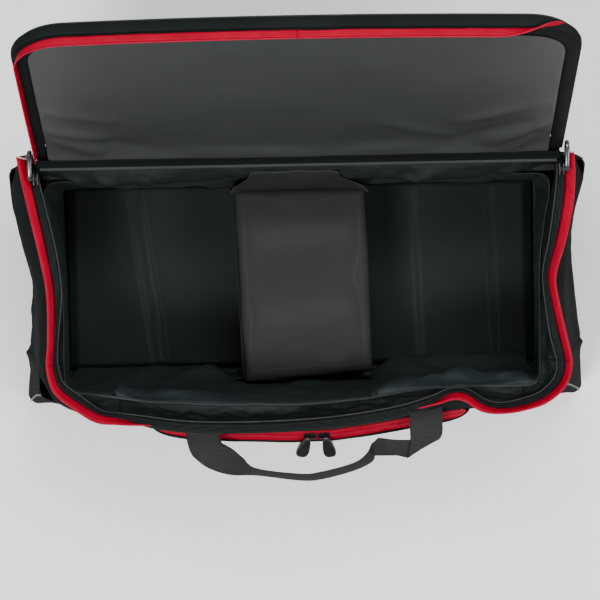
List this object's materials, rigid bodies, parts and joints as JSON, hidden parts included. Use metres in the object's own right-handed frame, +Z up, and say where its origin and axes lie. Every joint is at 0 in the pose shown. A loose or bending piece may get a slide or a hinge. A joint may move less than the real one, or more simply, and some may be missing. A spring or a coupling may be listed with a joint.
{
  "type": "padded equipment bag",
  "caption": "Rectangular padded soft bag with a back-hinged zipped lid, a front zip pocket, a webbing handle and a lift-out padded centre divider.",
  "frame": {"origin": "centre of the bag's underside, on the surface that it stands on", "axes": "+X to the right along the bag's length, +Y to the back where the lid hinges, +Z up"},
  "size_m": [0.655, 0.5107, 0.5594],
  "materials": {
    "shell": "matte",
    "foam": "matte",
    "lining": "satin",
    "lid_lining": "satin",
    "divider": "satin",
    "facing": "matte",
    "piping": "satin",
    "webbing": "matte",
    "hook": "matte",
    "board": "matte",
    "zip_tape": "satin",
    "zip_coil": "satin",
    "metal": "satin",
    "grip": "matte"
  },
  "bodies": {
    "bag": {"base_panel": "shell", "base_board": "board", "base_foam": "foam", "base_lining": "lining", "floor_pad": "lining", "base_piping": "piping", "zip_band": "shell", "zip_band_facing": "facing", "main_zip_tape": "zip_tape", "main_zip_coil": "zip_coil", "back_band": "facing", "hinge_piping": "piping", "wall_top_binding": "facing", "pocket_panel": "shell", "pocket_gussets": "shell", "pocket_top_strip": "shell", "pocket_zip_lower_tape": "zip_tape", "pocket_zip_upper_tape": "zip_tape", "pocket_zip_coil": "zip_coil", "pocket_zip_stops": "metal", "handle_anchor_tabs": "webbing", "front_panel": "shell", "front_foam": "foam", "front_lining": "lining", "back_panel": "shell", "back_foam": "foam", "back_lining": "lining", "left_panel": "shell", "left_foam": "foam", "left_lining": "lining", "right_panel": "shell", "right_foam": "foam", "right_lining": "lining"},
    "lid": {"lid_panel": "shell", "lid_foam": "foam", "lid_binding": "facing", "lid_border": "facing", "lid_lining": "lid_lining", "lid_zip_tape": "zip_tape", "lid_zip_coil": "zip_coil"},
    "divider": {"divider_top_pad": "divider", "divider_leg_left": "divider", "divider_leg_right": "divider", "divider_hook_strips": "hook", "divider_back_flap": "divider"},
    "handle": {"handle": "webbing"},
    "pocket_slider_left": {"pocket_slider_left": "metal"},
    "pocket_pull_left": {"pocket_pull_left": "grip"},
    "pocket_slider_right": {"pocket_slider_right": "metal"},
    "pocket_pull_right": {"pocket_pull_right": "grip"},
    "main_slider_left": {"main_slider_left": "metal"},
    "main_pull_left": {"main_pull_left": "grip"},
    "main_slider_right": {"main_slider_right": "metal"},
    "main_pull_right": {"main_pull_right": "grip"}
  },
  "joints": [
    {"name": "lid_hinge", "type": "hinge", "parent": "bag", "child": "lid", "pos_m": [0, 0.15, 0.292], "axis": [1, 0, 0], "range_deg": [0, 116.5]},
    {"name": "divider_lift", "type": "slide", "parent": "bag", "child": "divider", "axis": [0, 0, -1], "range_m": [-0.3, 0]},
    {"name": "handle_hinge", "type": "hinge", "parent": "bag", "child": "handle", "pos_m": [0, -0.1527, 0.262], "axis": [-1, 0, 0], "range_deg": [0, 100]},
    {"name": "pocket_slider_left_slide", "type": "slide", "parent": "bag", "child": "pocket_slider_left", "axis": [-1, 0, 0], "range_m": [0, 0.165]},
    {"name": "pocket_pull_left_hinge", "type": "hinge", "parent": "pocket_slider_left", "child": "pocket_pull_left", "pos_m": [0.0045, -0.16076, 0.24091], "axis": [-1, 0, 0], "range_deg": [0, 110]},
    {"name": "main_slider_left_slide", "type": "slide", "parent": "bag", "child": "main_slider_left", "axis": [0, -1, 0], "range_m": [0, 0.19]},
    {"name": "main_pull_left_hinge", "type": "hinge", "parent": "main_slider_left", "child": "main_pull_left", "pos_m": [-0.2955, 0.139, 0.292], "axis": [0, 0, 1], "range_deg": [0, 165]},
    {"name": "pocket_slider_right_slide", "type": "slide", "parent": "bag", "child": "pocket_slider_right", "axis": [1, 0, 0], "range_m": [0, 0.14]},
    {"name": "pocket_pull_right_hinge", "type": "hinge", "parent": "pocket_slider_right", "child": "pocket_pull_right", "pos_m": [0.0253, -0.16076, 0.24091], "axis": [-1, 0, 0], "range_deg": [0, 110]},
    {"name": "main_slider_right_slide", "type": "slide", "parent": "bag", "child": "main_slider_right", "axis": [0, -1, 0], "range_m": [0, 0.19]},
    {"name": "main_pull_right_hinge", "type": "hinge", "parent": "main_slider_right", "child": "main_pull_right", "pos_m": [0.2955, 0.139, 0.292], "axis": [0, 0, -1], "range_deg": [0, 165]}
  ]
}
